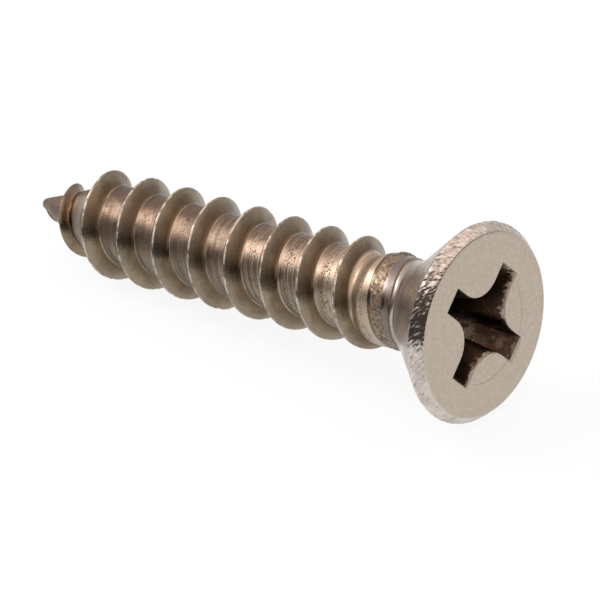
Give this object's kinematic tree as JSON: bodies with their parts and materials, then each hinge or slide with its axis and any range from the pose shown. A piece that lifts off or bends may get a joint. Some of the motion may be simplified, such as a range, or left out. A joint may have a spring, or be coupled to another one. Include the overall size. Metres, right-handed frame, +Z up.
{
  "type": "sheet metal screw",
  "caption": "Flat countersunk head screw with cross recess, plain collar, coarse spaced right-hand thread and gimlet point, lying on its side.",
  "frame": {"origin": "centre of the footprint of the screw as it lies on its side, on the surface it rests on", "axes": "+Z up; +X along the screw's length towards the head; the axis rises 5.8 degrees from the point to the head, because it rests on the head's rim and on the first full turn of thread"},
  "size_m": [0.0256, 0.0088, 0.0088],
  "materials": {
    "screw_steel": "rolled and headed plain steel, dull on the head's flat, brown in the thread's roots"
  },
  "bodies": {
    "root": {"screw": "screw_steel"}
  },
  "joints": []
}
